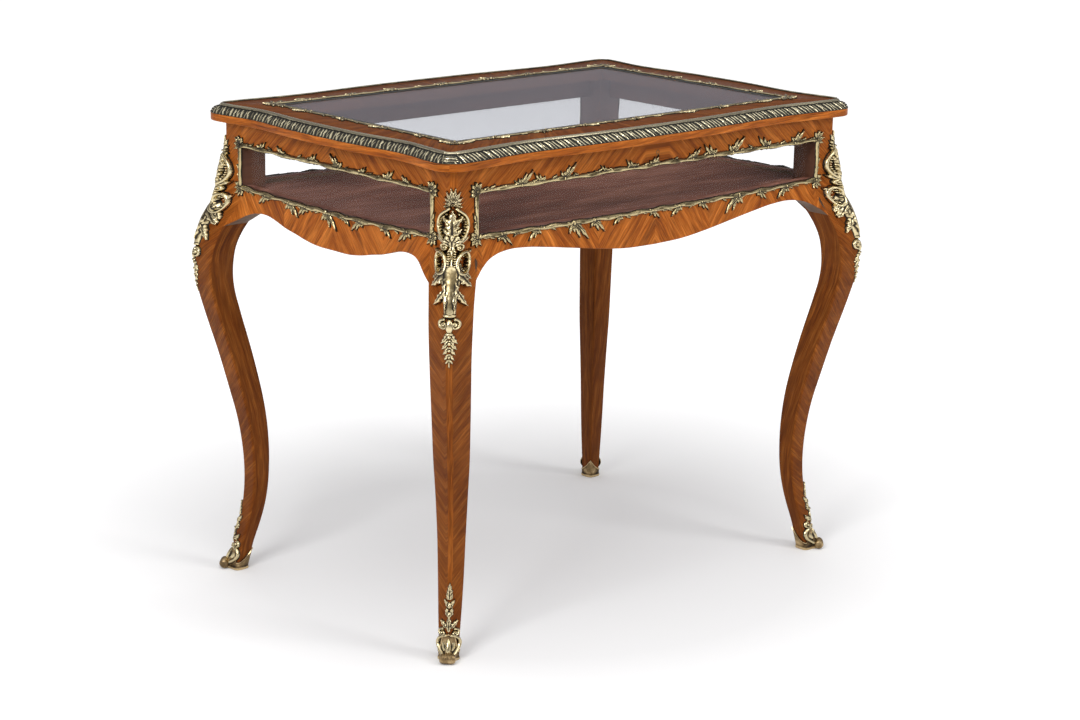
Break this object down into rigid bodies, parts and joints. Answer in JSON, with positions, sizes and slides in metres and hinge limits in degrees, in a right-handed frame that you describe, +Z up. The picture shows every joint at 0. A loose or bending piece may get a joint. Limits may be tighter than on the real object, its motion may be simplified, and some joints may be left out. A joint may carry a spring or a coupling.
{
  "type": "collectors display table",
  "caption": "Collectors display table: a shallow glazed case with a lifting, bevelled glass lid and velvet floor, on cabriole legs with cast gilt mounts and shoes.",
  "frame": {"origin": "on the floor under the middle of the table", "axes": "+X along the long side, +Y towards the hinged back, +Z up"},
  "size_m": [0.8878, 0.6198, 0.76],
  "materials": {
    "kingwood": "french polished veneer",
    "carcase_wood": "plain planed hardwood",
    "gilt_brass": "antique gilt, worn, dark in the recesses",
    "glass": "clear polished plate",
    "velvet": "worn rose velvet",
    "steel": "plain"
  },
  "bodies": {
    "table": {"leg_front_left": "kingwood", "knee_mount_front_left": "gilt_brass", "shoe_front_left": "gilt_brass", "leg_front_right": "kingwood", "knee_mount_front_right": "gilt_brass", "shoe_front_right": "gilt_brass", "leg_back_right": "kingwood", "knee_mount_back_right": "gilt_brass", "shoe_back_right": "gilt_brass", "leg_back_left": "kingwood", "knee_mount_back_left": "gilt_brass", "shoe_back_left": "gilt_brass", "top_rail_front": "kingwood", "apron_front": "kingwood", "side_glass_front": "glass", "pane_mount_front": "gilt_brass", "base_cleat_front": "carcase_wood", "top_rail_right": "kingwood", "apron_right": "kingwood", "side_glass_right": "glass", "pane_mount_right": "gilt_brass", "base_cleat_right": "carcase_wood", "top_rail_back": "kingwood", "apron_back": "kingwood", "side_glass_back": "glass", "pane_mount_back": "gilt_brass", "base_cleat_back": "carcase_wood", "top_rail_left": "kingwood", "apron_left": "kingwood", "side_glass_left": "glass", "pane_mount_left": "gilt_brass", "base_cleat_left": "carcase_wood", "lock_case": "steel", "keyhole_liner": "gilt_brass", "hinge_lower_leaf_left": "gilt_brass", "hinge_pin_left": "steel", "hinge_lower_leaf_right": "gilt_brass", "hinge_pin_right": "steel", "base_board": "carcase_wood", "velvet_lining": "velvet"},
    "lid": {"lid_board_front": "kingwood", "lid_board_right": "kingwood", "lid_board_back": "kingwood", "lid_board_left": "kingwood", "edge_band_front": "gilt_brass", "edge_band_right": "gilt_brass", "edge_band_back": "gilt_brass", "edge_band_left": "gilt_brass", "lid_glass": "glass", "glass_mount": "gilt_brass", "striker_plate": "gilt_brass", "hinge_upper_leaf_left": "gilt_brass", "hinge_upper_leaf_right": "gilt_brass"},
    "bolt": {"lock_bolt": "steel"}
  },
  "joints": [
    {"name": "lid_hinge", "type": "hinge", "parent": "table", "child": "lid", "pos_m": [0, 0.2748, 0.73135], "axis": [-1, 0, 0], "range_deg": [0, 95]},
    {"name": "lock_bolt_slide", "type": "slide", "parent": "table", "child": "bolt", "axis": [0, 0, 1], "range_m": [0, 0.006]}
  ]
}
